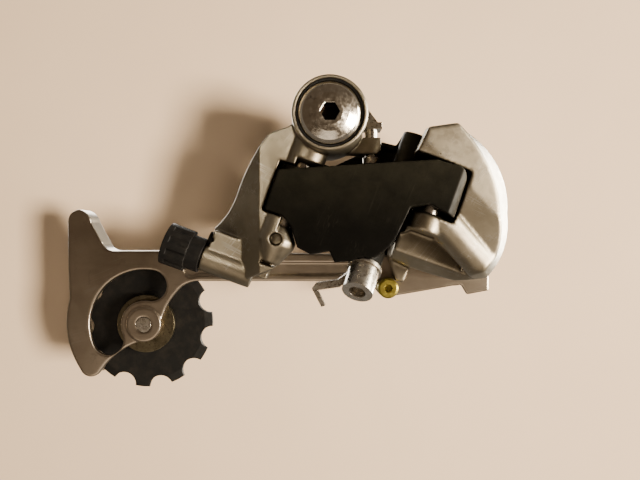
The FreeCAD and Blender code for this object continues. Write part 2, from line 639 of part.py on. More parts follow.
def anchor_axis(radius, start, length):
    """Cylinder on the cable anchor bolt's axis, which points down and outboard."""
    lean = math.radians(ANCHOR_LEAN)
    way = Vector(-0.30, -math.sin(lean), -math.cos(lean))
    way.normalize()
    foot = spot(ANCHOR_X, ANCHOR_Z, ANCHOR_OUT) + way * start
    return Part.makeCylinder(radius, length, foot, way)


def cable_anchor_bolt():
    """Hex-socket bolt that clamps the inner cable to the link's arm."""
    shank = anchor_axis(ANCHOR_R, -ANCHOR_HOLD, ANCHOR_HOLD + ANCHOR_WASHER + 1)
    head = anchor_axis(ANCHOR_HEAD_R, ANCHOR_WASHER, ANCHOR_HEAD_LENGTH)
    socket = anchor_axis(ANCHOR_R, ANCHOR_WASHER + ANCHOR_HEAD_LENGTH - 3, 4)
    return merged(shank, head).cut(socket)


def cable_clamp_plate():
    """Washer under the anchor bolt's head with a bent tab beside the cable."""
    washer = anchor_axis(ANCHOR_HEAD_R + 0.6, 0, ANCHOR_WASHER)
    tab = prism(path((7.4, -44.6), (2.6, -48.2), (-3.8, -49.2), (-5.2, -50.9), (-2.4, -56.3),
                     (-1.2, -55.8), (-3.4, -51.3), (3.0, -50.4), (7.4, -47.0)),
                ANCHOR_OUT - 4.0, ANCHOR_OUT + 1.0)
    tab = tab.cut([anchor_axis(ANCHOR_HEAD_R + 3, -15, 15), anchor_axis(ANCHOR_HEAD_R, ANCHOR_WASHER, 15)])
    return merged(washer, tab).cut(anchor_axis(ANCHOR_R, -5, 20))


def return_spring():
    """Parallelogram return spring round the front pin, inside the outer link."""
    wire = (RETURN_ROOM_R - LINK_PIN_R) * 0.6
    height = RETURN_ROOM_HIGH - RETURN_ROOM_LOW - 2 * FACE_GAP
    spring = coil((RETURN_ROOM_R + LINK_PIN_R) / 2, wire, height, 3)
    spring.translate(Vector(LINK_LENGTH, 0, RETURN_ROOM_LOW + FACE_GAP))
    return place_link(spring, OUTER_PIN_ALONG, OUTER_PIN_OUT)


def inner_outline(inset, edge):
    """Inner link's outline; 'edge' is the height of its ears outside the lugs."""
    top_rear = INNER_REAR_HIGH + edge
    top_front = INNER_FRONT_HIGH + INNER_TOP_EAR - INNER_EAR + edge
    low_rear = INNER_REAR_LOW - edge
    low_front = INNER_FRONT_LOW - edge
    rise = (BARREL_R + SWEEP_GAP + 0.3) * math.sqrt(2) - INNER_PIN_ALONG
    step = top_front - 4.8
    return path((inset - 1.0, low_rear), (inset - 1.0, top_rear), (rise + top_rear, top_rear),
                (rise + step, step), (LINK_LENGTH - 5.4, top_front - 4.4),
                (LINK_LENGTH - 4.4, top_front), (LINK_LENGTH + 1.0 - inset, top_front),
                (LINK_LENGTH + 1.0 - inset, low_front), (LINK_LENGTH - 6.0, low_front),
                (INNER_KNUCKLE_R + 1.5, low_rear))


def inner_link():
    """Channel behind the outer link: a web, two flanges and four pin ears."""
    web_out = -INNER_KNUCKLE_R + 0.1
    web_in = web_out - INNER_WEB
    shell = prism(inner_outline(0, INNER_EAR), web_in, INNER_FLANGE_OUT)
    hollow = prism(inner_outline(-3.0, INNER_EAR - 1.8), web_out, 5)
    link = shell.cut(hollow)
    ears = []
    for x, low, high, above in ((0, INNER_REAR_LOW, INNER_REAR_HIGH, INNER_EAR),
                                (LINK_LENGTH, INNER_FRONT_LOW, INNER_FRONT_HIGH, INNER_TOP_EAR)):
        side = 1 if x == 0 else -1
        for bottom, top in ((low - INNER_EAR, low), (high, high + above)):
            ears.append(link_cylinder(x, 0, INNER_KNUCKLE_R, bottom, top))
            block = link_block(tuple(sorted((x - side * 1.0, x + side * INNER_KNUCKLE_R))),
                               (web_in, 0), (bottom, top))
            ears.append(block)
    link = link.fuse(ears).removeSplitter()
    bores = [link_cylinder(0, 0, INNER_PIN_R + SHAFT_GAP, -60, 20),
             link_cylinder(LINK_LENGTH, 0, INNER_PIN_R + OPEN_PIVOT_GAP, -60, 20)]
    lugs = [link_cylinder(0, 0, INNER_KNUCKLE_R + 0.05, INNER_REAR_LOW, INNER_REAR_HIGH),
            link_cylinder(LINK_LENGTH, 0, INNER_KNUCKLE_R + 0.05, INNER_FRONT_LOW, INNER_FRONT_HIGH)]
    return place_link(link.cut(bores + lugs), INNER_PIN_ALONG, INNER_PIN_OUT)


# ---------------------------------------------------------------- plate body
def base_outline():
    """Plate body's outline from the cage up to its shoulder."""
    return path((-11.3, 33.0), (-2.5, 34.2), ((9.5, 24.5), (14.3, 6.4)), ((13.5, -3.6), (7.9, -13.4)),
                (-1.5, -14.4), (-9.0, -12.3), (-15.5, -10.3), (-21.7, -7.3),
                ((-19.7, 0.9), (-14.1, 8.0)), (-16.7, 21.5), at=(PLATE_AXLE_X, PLATE_AXLE_Z))


def crown_outline():
    """The same outline drawn in at the crown, most of all along the front edge."""
    return path((-12.7, 31.0), (-3.9, 32.3), ((3.5, 20.1), (6.9, 6.7)), ((6.7, -2.1), (2.5, -9.7)),
                (-3.6, -11.1), (-10.1, -9.7), (-15.7, -8.1), (-20.5, -5.7),
                ((-18.5, 0.7), (-13.5, 7.1)), (-17.3, 21.3), at=(PLATE_AXLE_X, PLATE_AXLE_Z))


def plate_shell():
    """Outside of the plate body: base, crown with its crease, recess, lower bevel and ridge."""
    axle = (PLATE_AXLE_X, PLATE_AXLE_Z)
    block = prism(base_outline(), BODY_IN, BODY_SHOULDER)
    crown = Part.makeLoft([moved_wire(base_outline(), BODY_SHOULDER),
                           moved_wire(crown_outline(), BODY_OUT)], True, True)
    upper_face = beyond((-13.1, 30.9, BODY_OUT), (-13.1, 14.9, BODY_OUT), (8.9, 24.9, BODY_OUT - 4.0))
    lower_face = beyond((-5.3, 18.8, BODY_OUT - 1.4), (10.4, 3.1, BODY_OUT - 4.3),
                        (-10.1, 5.4, BODY_OUT - 5.4))
    recess = prism(path((-26.1, -2.1), (-12.2, 3.2), (1.4, -9.8), (5.9, -25.1), (-31.1, -25.1), at=axle),
                   RECESS_OUT, 40)
    lower_bevel = beyond((-21.7, -6.3, BODY_SHOULDER - 0.8), (-1.5, -13.5, BODY_SHOULDER - 0.8),
                         (-3.6, -10.6, RECESS_OUT))
    envelope = merged(block, crown)
    shell = envelope.cut([upper_face, lower_face, recess, lower_bevel])
    return merged(shell, ridge_bar().common(envelope))


def plate_body():
    """P knuckle: a deep shell with the spring room, ears for both front pins and a ridge."""
    seat_high = OUTER_FRONT_HIGH + SWEEP_GAP
    seat_low = OUTER_FRONT_LOW - SWEEP_GAP
    nose = coned_ear(OUTER_FRONT_ALONG, OUTER_FRONT_OUT, FRONT_EAR_R, seat_low, 0.5, NOSE_HOLD, False)
    nose_tie = link_box((OUTER_FRONT_ALONG - 5.0, OUTER_FRONT_ALONG + 5.0),
                        (BODY_SHOULDER - 2, OUTER_FRONT_OUT), (seat_low - NOSE_HOLD, seat_low - 3.2))
    body = merged(plate_shell(), nose, nose_tie)

    knuckle = LINK_END_R + 0.4
    floor = seat_low - 2.4
    ear_high = INNER_FRONT_OUT + INNER_KNUCKLE_R + FACE_GAP
    rooms = [pin_bar(OUTER_FRONT_ALONG, OUTER_FRONT_OUT, knuckle, floor, seat_high),
             link_box((0, OUTER_FRONT_ALONG), (OUTER_FRONT_OUT - knuckle, 60), (floor, seat_high)),
             link_box((0, OUTER_FRONT_ALONG - FRONT_EAR_R), (ear_high, 60), (-60, seat_low - 2.0))]
    ear_room = INNER_KNUCKLE_R + SWEEP_GAP
    rooms += [pin_bar(INNER_FRONT_ALONG, INNER_FRONT_OUT, ear_room, INNER_FRONT_HIGH - FACE_GAP, 20),
              pin_bar(INNER_FRONT_ALONG, INNER_FRONT_OUT, ear_room,
                      INNER_FRONT_LOW - INNER_EAR - SWEEP_GAP, INNER_FRONT_LOW + FACE_GAP),
              link_box((0, INNER_FRONT_ALONG), (-10, 60), (INNER_FRONT_LOW - INNER_EAR - SWEEP_GAP, 30)),
              link_box((0, INNER_FRONT_ALONG + 2.0), (-10, INNER_FRONT_OUT - INNER_KNUCKLE_R + 0.4),
                       (INNER_FRONT_LOW - INNER_EAR - SWEEP_GAP, 30))]
    body = body.cut(rooms)
    body = merged(body, nose)
    lug = pin_bar(INNER_FRONT_ALONG, INNER_FRONT_OUT, INNER_KNUCKLE_R - 0.4,
                  INNER_FRONT_LOW + FACE_GAP, INNER_FRONT_HIGH - FACE_GAP)
    lug_tie = link_box((INNER_FRONT_ALONG, INNER_FRONT_ALONG + 6),
                       (INNER_FRONT_OUT - INNER_KNUCKLE_R + 0.6, INNER_FRONT_OUT + INNER_KNUCKLE_R - 0.4),
                       (INNER_FRONT_LOW + FACE_GAP, INNER_FRONT_HIGH - FACE_GAP))
    stop = prism(path((-21.5, -6.5), (-14.0, -9.5), (-16.7, -15.5), (-19.5, -14.7),
                      at=(PLATE_AXLE_X, PLATE_AXLE_Z)), BODY_IN, BODY_IN + 6)
    stop = stop.cut(round_bar(STOP_PIN_X, STOP_PIN_Z, STOP_PIN_R + 0.05, -20, 20))
    body = merged(body, lug, lug_tie, stop)
    axle = PLATE_AXLE_R + SHAFT_GAP + BUSH_WALL
    holes = [round_bar(PLATE_AXLE_X, PLATE_AXLE_Z, axle, BODY_IN - 1, AXLE_END + 0.6),
             round_bar(PLATE_AXLE_X, PLATE_AXLE_Z, PLATE_SPRING_R + SPRING_WIRE / 2 + 0.3,
                       BODY_IN + BUSH_LENGTH, BODY_IN + PLATE_SPRING_ROOM),
             pin_bar(OUTER_FRONT_ALONG, OUTER_FRONT_OUT, LINK_PIN_R, FRONT_PIN_LOW, FRONT_PIN_HIGH),
             pin_bar(INNER_FRONT_ALONG, INNER_FRONT_OUT, INNER_PIN_R, INNER_FRONT_LOW - INNER_EAR,
                     INNER_FRONT_HIGH + INNER_TOP_EAR),
             axle_screw_bar(AXLE_SCREW_R, 12)]
    return body.cut(holes)


def ridge_bar():
    """Rounded ridge that runs from the lower front ear across the plate body."""
    start = spot(PLATE_AXLE_X - 9.6, PLATE_AXLE_Z + 5.9, BODY_OUT - RIDGE_R - 0.4)
    end = spot(PLATE_AXLE_X + 10.0, PLATE_AXLE_Z - 14.4, BODY_OUT - RIDGE_R - 6.9)
    return Part.makeCylinder(RIDGE_R, (end - start).Length, start, end - start)


def moved_wire(wire, out):
    copy = wire.copy()
    copy.translate(Vector(0, -out, 0))
    return copy


def axle_screw_bar(radius, length):
    """Upright cylinder from the plate body's lower rim towards the axle's groove."""
    top = PLATE_AXLE_Z - PLATE_AXLE_R + 0.9
    foot = spot(PLATE_AXLE_X, top - length, AXLE_END - 1.4)
    return Part.makeCylinder(radius, length, foot, Vector(0, 0, 1))


def plate_bushes():
    """Two bushes that the plate axle turns in."""
    inner = PLATE_AXLE_R + SHAFT_GAP
    first = BODY_IN
    last = BODY_IN + PLATE_SPRING_ROOM
    return Part.makeCompound([
        ring(PLATE_AXLE_X, PLATE_AXLE_Z, inner + BUSH_WALL, inner, first, first + BUSH_LENGTH),
        ring(PLATE_AXLE_X, PLATE_AXLE_Z, inner + BUSH_WALL, inner, last, last + 2.0)])


def plate_spring():
    """P spring, coiled round the plate axle inside the body."""
    low = BODY_IN + BUSH_LENGTH + 0.2
    spring = coil(PLATE_SPRING_R, SPRING_WIRE, PLATE_SPRING_ROOM - BUSH_LENGTH - 0.4, 3)
    spring.rotate(Vector(0, 0, 0), Vector(1, 0, 0), 90)
    spring.translate(spot(PLATE_AXLE_X, PLATE_AXLE_Z, low))
    return spring


# ---------------------------------------------------------------- cage
def fork(*steps):
    """Cage outline round the tension pulley; 'steps' draw the rest from the arm's lower edge."""
    return (((FORK_BACK, 20.8), (FORK_BACK + 0.5, 8.8)), ((FORK_BACK - 0.1, -4.7), (FORK_BACK + 4.1, -15.2)),
            ((FORK_BACK + 7.1, -17.6), (FORK_BACK + 10.8, -15.9)),
            ((-10.4, -10.8), (-4.1, -6.8)), (4.9, -3.2), ((6.7, 4.3), (12.8, 12.8)),
            ((15.9, 14.2), (19.9, ARM_LOW))) + steps


def plate_outline():
    """Outer cage plate's arm and the fork round the tension pulley, with the hook above it."""
    neck = CAGE_REACH - 16.1
    return path((neck, ARM_HIGH - 1.5), (9.9, ARM_HIGH), (-9.9, ARM_HIGH), ((-12.4, 25.3), (-14.2, 27.6)),
                (-17.9, 34.4), ((-19.5, 37.4), (-22.0, 38.7)),
                ((FORK_BACK + 1.0, 37.4), (FORK_BACK - 0.1, 33.8)),
                *fork((neck, ARM_LOW)), at=(TENSION_X, TENSION_Z))


def kidney_slot(low, high):
    """Curved window round the tension pulley's hub."""
    start = math.radians(SLOT_FROM)
    end = math.radians(SLOT_TO)
    middle = (start + end) / 2
    def at(radius, turn):
        return (TENSION_X + radius * math.cos(turn), TENSION_Z + radius * math.sin(turn))
    half = (SLOT_OUTER_R - SLOT_INNER_R) / 2
    centre = (SLOT_OUTER_R + SLOT_INNER_R) / 2
    cap = half / centre
    wire = path(at(SLOT_OUTER_R, start), (at(SLOT_OUTER_R, middle), at(SLOT_OUTER_R, end)),
                (at(centre, end + cap), at(SLOT_INNER_R, end)),
                (at(SLOT_INNER_R, middle), at(SLOT_INNER_R, start)),
                (at(centre, start - cap), at(SLOT_OUTER_R, start)))
    return prism(wire, low, high)


def outer_plate():
    """Long cage plate beside the plate body."""
    low, high = OUTER_PLATE_IN, CAGE_OUT
    axle = (PLATE_AXLE_X, PLATE_AXLE_Z)
    tension = (TENSION_X, TENSION_Z)
    disc = round_bar(*axle, PLATE_DISC_R, low, high)
    arm = prism(plate_outline(), low, high)
    lobe = prism(path((-19.1, -6.6), (-24.5, -12.1), ((-24.9, -18.7), (-21.7, -20.7)), (-15.1, -19.7),
                      (-0.1, -17.1), (3.1, -15.9), (5.5, -19.9), (12.8, -18.5), (12.8, -11.1), at=axle),
                 low, high)
    tab = prism(path((-9.9, ARM_HIGH), ((-12.4, 25.3), (-14.2, 27.6)), (-17.9, 34.4),
                     ((-19.5, 37.4), (-22.0, 38.7)), (-22.0, 37.2), ((-20.4, 36.3), (-19.2, 33.7)),
                     (-15.5, 26.9), ((-13.4, 24.0), (-9.9, 23.1)), at=tension), INNER_PLATE_OUT + 0.4, high)
    hub = round_bar(*tension, HUB_R, low, high + HUB_RAISE)
    guide_seat = round_bar(GUIDE_X, GUIDE_Z, PULLEY_BOLT_HEAD_R + 2, low, high)
    plate = merged(disc, arm, lobe, tab, hub, guide_seat)
    tip = CAGE_REACH - 27.0
    groove = prism(path((13.9, 20.8), (tip, 20.8), ((tip + 2.1, 18.7), (tip, 16.6)), (17.9, 16.6),
                        ((13.3, 17.8), (13.9, 20.8)), at=tension), high - ARM_GROOVE, high + 1)
    bolts = [round_bar(x, z, PULLEY_BOLT_R, low - 1, high + 4)
             for x, z in (tension, (GUIDE_X, GUIDE_Z))]
    rivet = round_bar(*axle, PLATE_AXLE_R - 0.6, low - 1, high + 1)
    pin = round_bar(STOP_PIN_X, STOP_PIN_Z, STOP_SCREW_R, low - 1, high + 1)
    return plate.cut([kidney_slot(low - 1, high + 1), groove, rivet, pin] + bolts)


def inner_plate():
    """Second cage plate, held by the two pulley bolts."""
    low, high = INNER_PLATE_IN, INNER_PLATE_OUT
    x, z = GUIDE_X - TENSION_X, GUIDE_Z - TENSION_Z
    arm = prism(path((x - 13.5, z - 11.0), (9.9, ARM_HIGH), (-8.7, ARM_HIGH), (-14.6, ARM_HIGH),
                     ((FORK_BACK + 2.9, 18.8), (FORK_BACK + 0.5, 8.8)),
                     *fork((x - 11.5, ARM_LOW), ((x + 2.5, z - 16.5), (x + 10.0, z - 3.5)),
                           ((x + 9.1, z + 7.9), (x, z + 10.1)), ((x - 8.9, z + 6.5), (x - 9.3, z - 3.5)),
                           ((x - 10.1, z - 8.9), (x - 13.5, z - 11.0)))[1:],
                     at=(TENSION_X, TENSION_Z)), low, high)
    hub = round_bar(TENSION_X, TENSION_Z, HUB_R, low, high)
    holes = [round_bar(x, z, PULLEY_BOLT_R, low - 1, high + 1)
             for x, z in ((TENSION_X, TENSION_Z), (GUIDE_X, GUIDE_Z))]
    return merged(arm, hub).cut([kidney_slot(low - 1, high + 1)] + holes)


def plate_axle():
    """Axle riveted to the outer plate; its groove takes the axle screw."""
    profile = [(0, OUTER_PLATE_IN - 0.8), (RIVET_R, OUTER_PLATE_IN - 0.8), (RIVET_R, OUTER_PLATE_IN),
               (PLATE_AXLE_R - 0.6, OUTER_PLATE_IN), (PLATE_AXLE_R - 0.6, CAGE_OUT),
               (PLATE_AXLE_R, CAGE_OUT), (PLATE_AXLE_R, AXLE_END - 2.4), (PLATE_AXLE_R - 1.0, AXLE_END - 2.4),
               (PLATE_AXLE_R - 1.0, AXLE_END - 0.4), (PLATE_AXLE_R, AXLE_END - 0.4),
               (PLATE_AXLE_R, AXLE_END), (0, AXLE_END)]
    return lathe(profile, PLATE_AXLE_X, PLATE_AXLE_Z)


def cage_stop_pin():
    """Shouldered pin that stops the cage against the plate body."""
    profile = [(0, OUTER_PLATE_IN), (STOP_SCREW_R, OUTER_PLATE_IN), (STOP_SCREW_R, CAGE_OUT),
               (STOP_PIN_R, CAGE_OUT), (STOP_PIN_R, STOP_PIN_END - 0.6), (STOP_PIN_R - 0.6, STOP_PIN_END),
               (0, STOP_PIN_END)]
    pin = lathe(profile, STOP_PIN_X, STOP_PIN_Z)
    return pin.cut(hex_bar(STOP_PIN_X, STOP_PIN_Z, 2.5, STOP_PIN_END - 2, STOP_PIN_END + 1))


def plate_seal():
    """Thin washer between the cage plate and the plate body, round the axle."""
    inner = PLATE_AXLE_R + 0.1
    return ring(PLATE_AXLE_X, PLATE_AXLE_Z, PLATE_AXLE_R + 5, inner, CAGE_OUT, BODY_IN - FACE_GAP)


def pulley_bolt(x, z):
    """Bolt from the inner side through both plates."""
    tip = CAGE_OUT + (HUB_RAISE if x == TENSION_X else 0)
    head_in = INNER_PLATE_IN - PULLEY_BOLT_HEAD
    profile = [(0, head_in), (PULLEY_BOLT_HEAD_R - 0.5, head_in), (PULLEY_BOLT_HEAD_R, head_in + 0.5),
               (PULLEY_BOLT_HEAD_R, INNER_PLATE_IN), (PULLEY_BOLT_R, INNER_PLATE_IN), (PULLEY_BOLT_R, tip),
               (0, tip)]
    bolt = lathe(profile, x, z)
    return bolt.cut(hex_bar(x, z, 3.0, head_in - 1, head_in + 2))


def pulley_bush(x, z):
    """Sleeve on the bolt that the pulley turns on."""
    return ring(x, z, PULLEY_BORE_R - SHAFT_GAP, PULLEY_BOLT_R, INNER_PLATE_OUT + CAP, OUTER_PLATE_IN - CAP)


def dust_caps(x, z):
    """Cap each side of a pulley's hub."""
    caps = []
    for face, way in ((INNER_PLATE_OUT, 1), (OUTER_PLATE_IN, -1)):
        profile = [(PULLEY_BOLT_R, face), (DUST_CAP_R, face), (DUST_CAP_R, face + way * (CAP + 1.0)),
                   (DUST_CAP_R - CAP_LIP, face + way * (CAP + 1.0)), (DUST_CAP_R - CAP_LIP, face + way * CAP),
                   (PULLEY_BOLT_R, face + way * CAP)]
        caps.append(lathe(profile, x, z))
    return Part.makeCompound(caps)


def pulley(x, z, start=0.0):
    """Eleven-tooth jockey wheel with a thin tooth rim and a wide hub, turned by 'start' degrees."""
    low = PULLEY_OUT - PULLEY_WIDTH / 2
    high = PULLEY_OUT + PULLEY_WIDTH / 2
    tip = PULLEY_PITCH_R - TIP_DROP
    edge = 0.5
    profile = [(0, low), (tip - 2.6, low), (tip, low + edge), (tip, high - edge), (tip - 2.6, high),
               (0, high)]
    wheel = lathe(profile, x, z)
    gaps = []
    for i in range(PULLEY_TEETH):
        turn = 2 * math.pi * (i + 0.5) / PULLEY_TEETH + math.radians(start)
        gaps.append(round_bar(x + PULLEY_PITCH_R * math.cos(turn), z + PULLEY_PITCH_R * math.sin(turn),
                              ROLLER_R, low - 1, high + 1))
    wheel = wheel.cut(gaps)
    hub_r = DUST_CAP_R - CAP_LIP - 0.4
    hub = round_bar(x, z, hub_r, PULLEY_OUT - PULLEY_HUB_WIDTH / 2, PULLEY_OUT + PULLEY_HUB_WIDTH / 2)
    return merged(wheel, hub).cut(round_bar(x, z, PULLEY_BORE_R, low - 5, high + 5))


# ---------------------------------------------------------------- all pieces
def pieces():
    """Every node's name and shape."""
    return {
        "mounting_bolt": mounting_bolt(),
        "stopper_plate": stopper_plate(),
        "bolt_circlip": bolt_circlip(),
        "bracket_body": bracket_body(),
        "bracket_bushes": bracket_bushes(),
        "bracket_dust_ring": bracket_dust_ring(),
        "bracket_spring": bracket_spring(),
        "b_tension_screw": b_tension_screw(),
        "low_limit_screw": limit_screw(LIMIT_SCREW_OUTS[0]),
        "high_limit_screw": limit_screw(LIMIT_SCREW_OUTS[1]),
        "outer_link_rear_pin": outer_rear_bar(LINK_PIN_R),
        "inner_link_rear_pin": inner_rear_bar(INNER_PIN_R),
        "adjusting_barrel": adjusting_barrel(),
        "adjuster_knob": adjuster_knob(),
        "adjuster_spring": adjuster_spring(),
        "outer_link": outer_link(),
        "cable_anchor_bolt": cable_anchor_bolt(),
        "cable_clamp_plate": cable_clamp_plate(),
        "return_spring": return_spring(),
        "inner_link": inner_link(),
        "plate_body": plate_body(),
        "outer_link_front_pin": pin_bar(OUTER_FRONT_ALONG, OUTER_FRONT_OUT, LINK_PIN_R,
                                        FRONT_PIN_LOW, FRONT_PIN_HIGH),
        "inner_link_front_pin": pin_bar(INNER_FRONT_ALONG, INNER_FRONT_OUT, INNER_PIN_R,
                                        INNER_FRONT_LOW - INNER_EAR, INNER_FRONT_HIGH + INNER_TOP_EAR),
        "plate_bushes": plate_bushes(),
        "plate_spring": plate_spring(),
        "axle_screw": axle_screw_bar(AXLE_SCREW_R, 8),
        "plate_seal": plate_seal(),
        "outer_plate": outer_plate(),
        "inner_plate": inner_plate(),
        "plate_axle": plate_axle(),
        "cage_stop_pin": cage_stop_pin(),
        "pulley_bolts": Part.makeCompound([pulley_bolt(GUIDE_X, GUIDE_Z), pulley_bolt(TENSION_X, TENSION_Z)]),
        "pulley_bushes": Part.makeCompound([pulley_bush(GUIDE_X, GUIDE_Z),
                                            pulley_bush(TENSION_X, TENSION_Z)]),
        "guide_dust_caps": dust_caps(GUIDE_X, GUIDE_Z),
        "tension_dust_caps": dust_caps(TENSION_X, TENSION_Z),
        "guide_pulley": pulley(GUIDE_X, GUIDE_Z),
        "tension_pulley": pulley(TENSION_X, TENSION_Z, TENSION_PULLEY_TURN),
    }


os.makedirs("parts", exist_ok=True)
for name, shape in pieces().items():
    shape.exportStep("parts/" + name + ".step")
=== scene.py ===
"""Looks of the rear derailleur: finishes, forged skins, studio and camera."""
import json
import math

import bmesh
import bpy
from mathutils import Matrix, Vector

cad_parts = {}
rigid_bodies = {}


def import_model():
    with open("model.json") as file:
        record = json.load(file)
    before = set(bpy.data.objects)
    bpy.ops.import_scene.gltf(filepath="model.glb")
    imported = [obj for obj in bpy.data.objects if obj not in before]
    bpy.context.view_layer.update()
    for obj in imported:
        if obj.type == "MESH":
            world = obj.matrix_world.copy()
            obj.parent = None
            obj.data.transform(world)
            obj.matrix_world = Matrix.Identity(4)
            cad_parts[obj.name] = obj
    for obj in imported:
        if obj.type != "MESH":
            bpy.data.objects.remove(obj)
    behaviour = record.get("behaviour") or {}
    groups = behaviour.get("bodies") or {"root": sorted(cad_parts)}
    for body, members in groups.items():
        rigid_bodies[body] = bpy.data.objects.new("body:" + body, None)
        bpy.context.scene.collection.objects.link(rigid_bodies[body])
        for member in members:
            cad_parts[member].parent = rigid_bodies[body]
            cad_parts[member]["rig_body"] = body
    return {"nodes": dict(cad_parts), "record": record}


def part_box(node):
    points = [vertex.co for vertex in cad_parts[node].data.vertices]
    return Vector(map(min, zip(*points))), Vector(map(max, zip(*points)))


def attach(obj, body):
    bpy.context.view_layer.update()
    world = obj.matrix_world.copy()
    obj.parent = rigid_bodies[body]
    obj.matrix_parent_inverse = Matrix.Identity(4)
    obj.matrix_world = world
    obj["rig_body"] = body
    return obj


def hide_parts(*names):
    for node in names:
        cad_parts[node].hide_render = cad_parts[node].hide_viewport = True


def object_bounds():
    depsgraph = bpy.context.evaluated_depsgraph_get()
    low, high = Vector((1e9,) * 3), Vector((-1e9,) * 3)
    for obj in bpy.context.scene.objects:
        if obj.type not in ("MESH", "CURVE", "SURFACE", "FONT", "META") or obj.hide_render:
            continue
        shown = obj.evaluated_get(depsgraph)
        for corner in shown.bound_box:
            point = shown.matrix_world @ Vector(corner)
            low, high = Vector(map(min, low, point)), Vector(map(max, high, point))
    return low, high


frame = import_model()
cad_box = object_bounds()
nodes = frame["nodes"]
MM = 0.001
PAPER = (0.75, 0.60, 0.445)


# ---------------------------------------------------------------- node helpers
class Finish:
    """A material under construction, with short calls for its nodes."""

    def __init__(self, name):
        self.material = bpy.data.materials.new(name)
        self.material.use_nodes = True
        self.tree = self.material.node_tree
        self.shader = self.tree.nodes["Principled BSDF"]
        self.place = self.tree.nodes.new("ShaderNodeTexCoord").outputs["Object"]

    def set(self, **values):
        """Constants on the shader; an underscore stands for a space in a socket's name."""
        for name, value in values.items():
            self.shader.inputs[name.replace("_", " ")].default_value = value
        return self

    def plug(self, socket, name):
        self.tree.links.new(socket, self.shader.inputs[name])

    def feed(self, target, value):
        """Link a socket into an input, or set the input to a constant."""
        if isinstance(value, bpy.types.NodeSocket):
            self.tree.links.new(value, target)
        elif target.type == "RGBA":
            target.default_value = (*value, 1)
        else:
            target.default_value = value

    def node(self, kind, inputs=None, **settings):
        made = self.tree.nodes.new(kind)
        for name, value in settings.items():
            setattr(made, name, value)
        for name, value in (inputs or {}).items():
            self.feed(made.inputs[name], value)
        return made

    def stretched(self, scale=(1, 1, 1), turn=(0, 0, 0)):
        """Object coordinates turned, then scaled."""
        turned = self.node("ShaderNodeMapping", {"Vector": self.place, "Rotation": turn})
        inputs = {"Vector": turned.outputs[0], "Scale": scale}
        return self.node("ShaderNodeMapping", inputs).outputs[0]

    def noise(self, per_metre, detail=3.0, roughness=0.55, where=None):
        inputs = {"Scale": per_metre, "Detail": detail, "Roughness": roughness,
                  "Vector": where or self.place}
        return self.node("ShaderNodeTexNoise", inputs).outputs["Fac"]

    def span(self, value, low, high, to_low=0.0, to_high=1.0):
        """Map one range onto another, and clamp."""
        inputs = {"Value": value, "From Min": low, "From Max": high,
                  "To Min": to_low, "To Max": to_high}
        return self.node("ShaderNodeMapRange", inputs).outputs["Result"]

    def patches(self, per_metre, low, high, detail=3.0, roughness=0.55):
        """One in the blotches of a noise, nought between them."""
        return self.span(self.noise(per_metre, detail, roughness), low, high)

    def uneven(self, per_metre, smooth, rough, detail=3.0):
        """Roughness that wanders between two values."""
        return self.span(self.noise(per_metre, detail), 0.3, 0.7, smooth, rough)

    def mix(self, factor, first, second):
        """Colour between two others."""
        made = self.node("ShaderNodeMix", data_type="RGBA")
        for index, value in ((0, factor), (6, first), (7, second)):
            self.feed(made.inputs[index], value)
        return made.outputs[2]

    def math(self, kind, first, second=0.5):
        made = self.node("ShaderNodeMath", operation=kind)
        for target, value in zip(made.inputs, (first, second)):
            self.feed(target, value)
        return made.outputs[0]

    def times(self, first, second):
        return self.math("MULTIPLY", first, second)

    def scratches(self, per_metre, slant):
        """Fine straight marks at a slant across the outboard faces, from a much stretched noise."""
        thin, along = 0.02, 0.02
        where = self.stretched((per_metre * along, per_metre, per_metre), (0, slant, 0))
        lines = self.noise(1.0, 2.0, 0.5, where)
        off_middle = self.math("ABSOLUTE", self.math("SUBTRACT", lines, 0.5))
        return self.span(off_middle, 0.0, thin, 1.0, 0.0)

    def hollow_shade(self, reach, low, high):
        """One deep in hollows and corners, nought in the open: an ambient-occlusion mask for
        painted shade.
        """
        inputs = {"Distance": reach}
        open_sky = self.node("ShaderNodeAmbientOcclusion", inputs, samples=8).outputs["AO"]
        return self.span(open_sky, low, high, 1.0, 0.0)

    def socket_shade(self, front, reach):
        """One down a socket on the Y axis, whose mouth is at front: the mask of painted shade
        inside the socket.
        """
        place = self.node("ShaderNodeSeparateXYZ", {"Vector": self.place}).outputs
        squares = [self.times(place[axis], place[axis]) for axis in "XZ"]
        inside = self.math("LESS_THAN", self.math("ADD", *squares), reach ** 2)
        return self.times(inside, self.span(place["Y"], front + 0.1 * MM, front + 0.8 * MM))

    def relief(self, height, depth, radius=0.0):
        """Bump from a height, over edges rounded to a radius."""
        inputs = {"Height": height, "Distance": depth, "Strength": 1.0}
        if radius:
            rounded = self.node("ShaderNodeBevel", {"Radius": radius}, samples=6)
            inputs["Normal"] = rounded.outputs[0]
        self.plug(self.node("ShaderNodeBump", inputs).outputs[0], "Normal")


